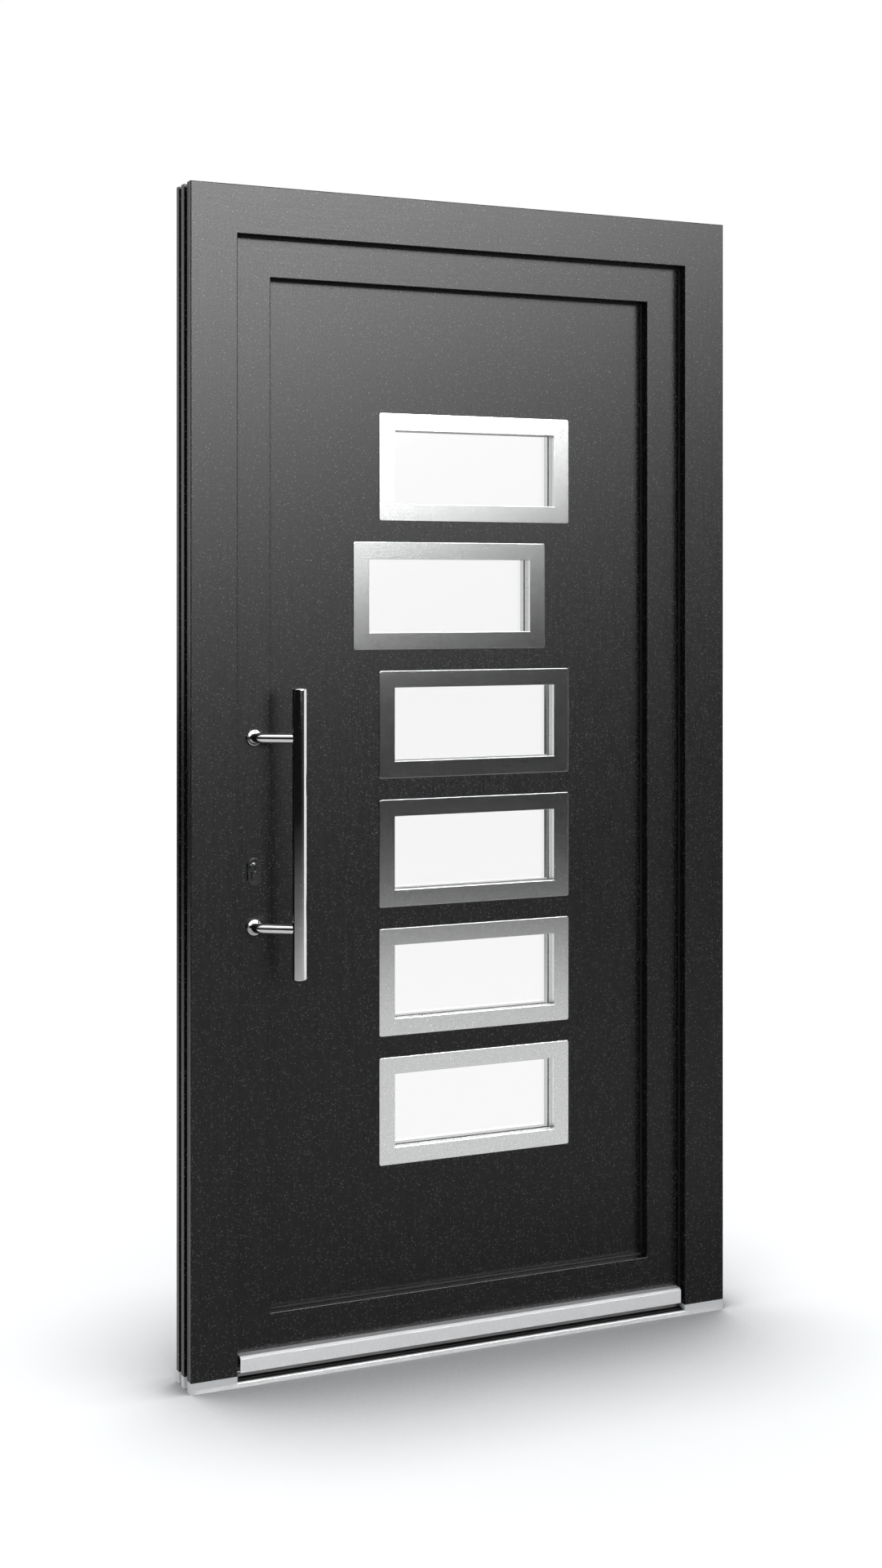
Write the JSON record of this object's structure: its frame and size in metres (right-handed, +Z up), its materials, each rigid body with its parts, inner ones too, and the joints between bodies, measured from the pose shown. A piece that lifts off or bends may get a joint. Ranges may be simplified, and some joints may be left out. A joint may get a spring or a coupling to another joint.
{
  "type": "entrance door set",
  "caption": "Inward-opening plastic entrance door in its frame, with a flat infill panel, a row of small windows, a long pull bar and a low threshold.",
  "frame": {"origin": "middle of the threshold's underside, half way through the frame's depth", "axes": "+Z up, +Y into the building, +X to the hinge side as seen from outside"},
  "size_m": [1.08, 0.222, 2.1],
  "materials": {
    "foiled_upvc": "anthracite wood-grain foil on plastic profile",
    "anodised_aluminium": "clear anodised",
    "grey_plastic": "moulded light grey",
    "black_rubber": "extruded seal",
    "black_plastic": "extruded thermal break",
    "brushed_stainless": "fine brushed",
    "polished_stainless": "polished",
    "clear_glass": "clear float glass",
    "spacer": "matt",
    "dark_lock": "satin anthracite",
    "satin_steel": "satin",
    "hinge_coating": "powder coated"
  },
  "bodies": {
    "frame_set": {"threshold_front": "anodised_aluminium", "threshold_core": "black_plastic", "threshold_rear": "anodised_aluminium", "connector_left": "grey_plastic", "connector_right": "grey_plastic", "jamb_left": "foiled_upvc", "jamb_right": "foiled_upvc", "frame_head": "foiled_upvc", "frame_seal": "black_rubber", "strike_keeps": "satin_steel", "hinge_frame_top": "hinge_coating", "hinge_frame_middle": "hinge_coating", "hinge_frame_bottom": "hinge_coating"},
    "leaf": {"leaf_stile_lock": "foiled_upvc", "leaf_stile_hinge": "foiled_upvc", "leaf_rail_top": "foiled_upvc", "leaf_rail_bottom": "foiled_upvc", "leaf_seal": "black_rubber", "bottom_seal": "black_rubber", "panel_seal": "black_rubber", "infill_panel": "foiled_upvc", "glazing_beads": "foiled_upvc", "window_trim_1": "brushed_stainless", "window_trim_2": "brushed_stainless", "window_trim_3": "brushed_stainless", "window_trim_4": "brushed_stainless", "window_trim_5": "brushed_stainless", "window_trim_6": "brushed_stainless", "inner_trims": "brushed_stainless", "window_glass": "clear_glass", "glass_spacers": "spacer", "weather_bar": "anodised_aluminium", "pull_bar": "polished_stainless", "pull_supports": "polished_stainless", "pull_rosettes": "polished_stainless", "escutcheon": "dark_lock", "lock_cylinder": "dark_lock", "lock_faceplate": "satin_steel", "lock_bolts": "satin_steel", "lever_backplate": "satin_steel", "lever_handle": "satin_steel", "hinge_leaf_top": "hinge_coating", "hinge_leaf_middle": "hinge_coating", "hinge_leaf_bottom": "hinge_coating"}
  },
  "joints": [
    {"name": "leaf_hinge", "type": "hinge", "parent": "frame_set", "child": "leaf", "pos_m": [0.506, 0.059, 0], "axis": [0, 0, -1], "range_deg": [0, 100]}
  ]
}
